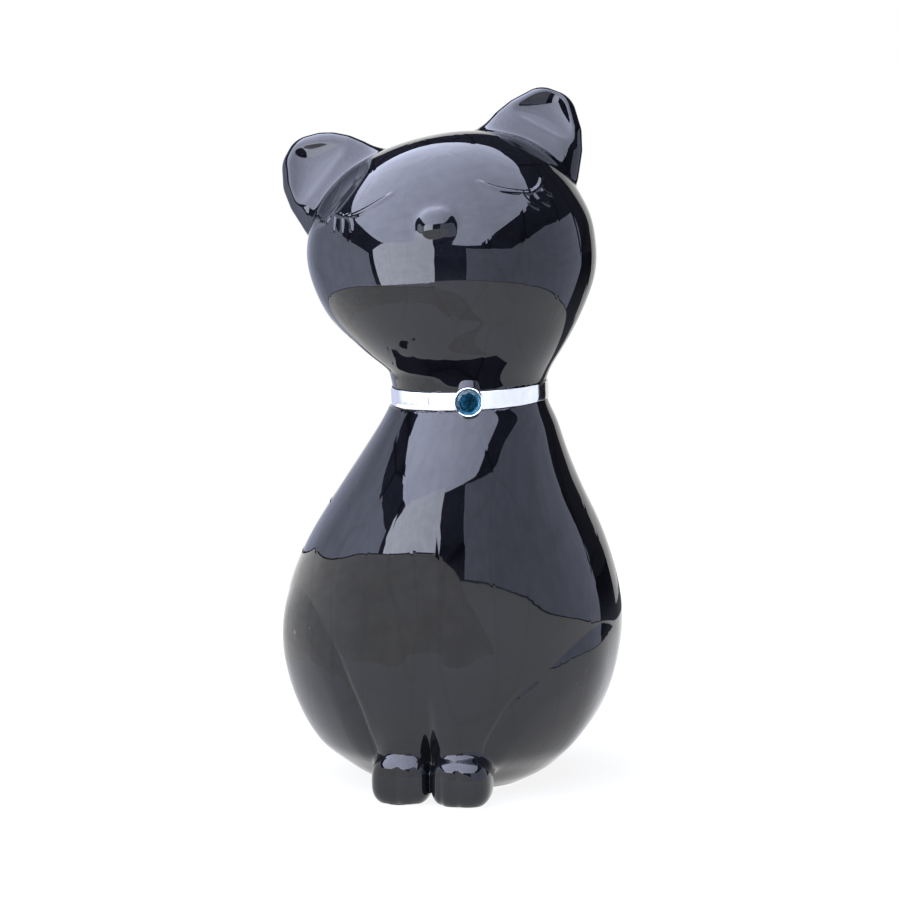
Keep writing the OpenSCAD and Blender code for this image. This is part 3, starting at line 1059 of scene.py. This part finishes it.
def camera():
    data = bpy.data.cameras.new("camera")
    data.lens, data.sensor_width = 146.9, 36
    data.clip_start, data.clip_end = 0.05, 20
    o = linked("camera", data)
    az, el = math.radians(10), math.radians(7)
    back = np.array([math.sin(az) * math.cos(el), -math.cos(az) * math.cos(el), math.sin(el)])
    right = np.array([math.cos(az), math.sin(az), 0])
    up = np.cross(back, right)
    place = np.array([0, 0, 0.125]) + back * 1.35 - right * 0.00092 - up * 0.00261
    pose = np.eye(4)
    pose[:3] = np.stack([right, up, back, place], 1)
    o.matrix_world = Matrix(pose.tolist())
    bpy.context.scene.camera = o


def glow_material(name, radiance, tint, fall, from_above):
    """Light through a diffuser cloth. fall is an axis, two places along it and the light's shares there."""
    m = Nodes(name)
    m.tree.nodes.remove(m.shader)
    axis, start, end, low, high = fall
    across = m.spread(m.add("SeparateXYZ", Vector=m.place).outputs[axis], low * radiance, high * radiance, start, end)
    dim, bright = ([share * c for c in tint] for share in (0.90, 1.04))
    cloth = m.ramp(m.add("TexNoise", Scale=9).outputs["Fac"], (0.35, dim), (0.7, bright))
    light = m.add("Emission", Color=cloth, Strength=across).outputs[0]
    if from_above:
        back = m.add("NewGeometry").outputs["Backfacing"]
        light = m.combine("MixShader", back, light, m.add("BsdfTransparent").outputs[0])["Shader"]
    m.put(m.tree.nodes["Material Output"].inputs["Surface"], light)
    return m.material


EVEN = ("X", -0.3, 0.3, 1.22, 0.72)     # a little stronger to -X


def lamp_object(name, points, faces, radiance, tint, fall=EVEN, soft=True, from_above=False):
    """A lit surface seen in reflections only. soft says that it lights matt surfaces too."""
    mesh = bpy.data.meshes.new(name)
    mesh.from_pydata(points, [], faces)
    mesh.materials.append(glow_material(name, radiance, tint, fall, from_above))
    o = linked(name, mesh)
    o.visible_camera = o.visible_shadow = False
    o.visible_diffuse = soft


def screen(name, radius, keys, radiance, tint, fall=EVEN, soft=True):
    """An upright lit screen round the object. keys are azimuth in degrees, and its bottom and top heights."""
    keys = np.array(keys, float)
    azimuths = np.linspace(keys[0, 0], keys[-1, 0], max(2, int((keys[-1, 0] - keys[0, 0]) / 3)))
    points = []
    for a in azimuths:
        for column in (1, 2):
            height = np.interp(a, keys[:, 0], keys[:, column])
            points.append((radius * math.sin(math.radians(a)), -radius * math.cos(math.radians(a)), height))
    faces = [(2 * i, 2 * i + 2, 2 * i + 3, 2 * i + 1) for i in range(len(azimuths) - 1)]
    lamp_object(name, points, faces, radiance, tint, fall, soft)


def shade_card(name, corners, height, radiance):
    """A near-black card of painted shade lying level below the chin, that only surfaces above it can see in their
    reflections. corners are x, y in mm.
    """
    points = [(x * MM, y * MM, height) for x, y in corners]
    lamp_object(name, points, [tuple(range(len(corners)))], radiance, (1, 1, 1), EVEN, False, True)


def canopy(name, radius, middle_height, keys, radiance, tint):
    """A lit canopy overhead. keys are azimuth, and how high its edge is above the horizon, in degrees."""
    keys = np.array(keys, float)
    azimuths = np.arange(-180, 180, 4)
    rows, points = 8, []
    for a in azimuths:
        edge = np.interp(a, keys[:, 0], keys[:, 1])
        for k in range(rows):
            e = math.radians(edge + (90 - edge) * k / rows)
            points.append((radius * math.cos(e) * math.sin(math.radians(a)),
                           -radius * math.cos(e) * math.cos(math.radians(a)), middle_height + radius * math.sin(e)))
    points.append((0, 0, middle_height + radius))
    n, faces = len(azimuths), []
    for i in range(n):
        j = (i + 1) % n
        for k in range(rows - 1):
            faces.append((i * rows + k, j * rows + k, j * rows + k + 1, i * rows + k + 1))
        faces.append((i * rows + rows - 1, j * rows + rows - 1, n * rows))
    lamp_object(name, points, faces, radiance, tint)


def lights():
    """Lit screens round the object, a canopy above them, low cards near it, a near-black card of painted shade under
    the chin, and a dark gap by the camera.
    """
    cool, white = (0.72, 0.77, 1.0), (1.0, 1.0, 1.0)
    screen("left", 0.40, [(-150, 0, 0.38), (-102, 0, 0.34), (-84, 0, 0.275), (-60, 0, 0.21), (-49, 0, 0.17)], 2.4,
           cool, ("Y", -0.2, 0.15, 1.15, 0.4))
    screen("strip", 0.40, [(-45, 0, 0.19), (-38, 0, 0.225), (-12, 0, 0.24), (-3, 0, 0.235)], 7.2, (0.80, 0.84, 1.0))
    screen("right", 0.42, [(18, 0.002, 0.235), (50, 0.002, 0.235), (62, 0.002, 0.27), (84, 0.002, 0.32),
                           (122, 0.002, 0.34)], 1.85, cool)
    edge = [(-150, 0.06), (-115, 0.105), (-60, 0.105), (-30, 0.095), (-3, 0.085), (10, 0.06), (20, 0.035),
            (34, 0.001)]
    screen("card", 0.21, [(a, 0, h) for a, h in edge], 1.2, white, ("X", -0.08, 0.1, 1.0, 0.91), False)
    screen("card_edge", 0.2095, [(a, h, h + 0.0016) for a, h in edge[:5]], 0.02, white, EVEN, False)
    # painted shade: a near-black card under the chin that only reflections see
    shade_card("painted_shade_card", [(-64, 10), (-62, -27), (-50, -58), (-36, -76), (-15, -92), (10, -98), (40, -98), (66, -90),
                       (72, -60), (0, -40)], 0.105, 0.02)
    screen("rear", 0.60, [(152, 0, 0.5), (208, 0, 0.5)], 1.0, white)
    canopy("canopy", 0.45, 0.20, [(-180, 60), (-150, 50), (-105, 40), (-84, 28), (-60, 17), (-37, 3), (0, 5), (30, 7),
                                  (52, 22), (82, 38), (107, 53), (140, 60), (180, 60)], 6.6, cool)


def world():
    """White where the camera looks past the object, dark to reflections and soft to matt surfaces."""
    w = bpy.data.worlds.new("studio")
    bpy.context.scene.world = w
    w.use_nodes = True
    t = w.node_tree
    white, seen, mix = (t.nodes.new("ShaderNode" + kind) for kind in ("Background", "LightPath", "MixShader"))
    for shade, colour in ((t.nodes["Background"], (0.03, 0.03, 0.033, 1)), (white, (1, 1, 1, 1))):
        shade.inputs["Color"].default_value = colour
    for i, output in enumerate((seen.outputs["Is Camera Ray"], t.nodes["Background"].outputs[0], white.outputs[0])):
        t.links.new(output, mix.inputs[i])
    t.links.new(mix.outputs[0], t.nodes["World Output"].inputs["Surface"])


def floor():
    """A plain white table top that glows, its glow dimmed near the figurine as painted shade; reflections see it no
    further than the lit screens.
    """
    bm = bmesh.new()
    bmesh.ops.create_circle(bm, cap_ends=True, radius=6.0, segments=96)
    for f in bm.faces:
        if f.normal.z < 0:
            f.normal_flip()
    m = Nodes("table_top", Metallic=0.0, Roughness=0.9, Specular_IOR_Level=0.0, Emission_Color=(1, 1, 1, 1))
    away = m.combine("VectorMath", m.place, operation="LENGTH")["Value"]
    # painted shade: the table's glow is dimmer within 0.3 m of the figurine
    glow_with_painted_shade = m.spread(away, 0.88, 1.0, 0.06, 0.30)
    reflected, past = m.add("LightPath").outputs["Is Glossy Ray"], m.spread(away, 0.0, 1.0, 0.415, 0.42)
    dark = m.combine("Math", reflected, past, operation="MULTIPLY")["Value"]
    m.fill(m.shader, {
        "Base Color": m.ramp(m.noise(6, 3, 0.5), (0.3, (0.10, 0.10, 0.10)), (0.7, (0.11, 0.11, 0.11))),
        "Emission Strength": m.combine("Math", glow_with_painted_shade, dark, operation="SUBTRACT")["Value"]})
    linked("table", as_mesh("table", bm, m.material))


def build():
    glaze, biscuit, silver = glaze_material(), biscuit_material(), silver_material()
    finish_shell("body", body_mesh(), body_field, "body_shell", [glaze, biscuit])
    finish_shell("head", head_mesh(), head_field, "head_shell", [glaze, biscuit])
    collar(silver)
    bezel(silver)
    cut_stone(crystal_material())
    foil(foil_material())
    bung(rubber_material())
    felt = felt_material()
    for pad in (felt_ring(felt), paw_felts(felt)):
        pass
    for slot in frame["nodes"]["neck_cement"].material_slots:
        slot.material = cement_material()


build()
camera()
lights()
world()
floor()
bpy.context.scene.view_settings.view_transform = "Standard"
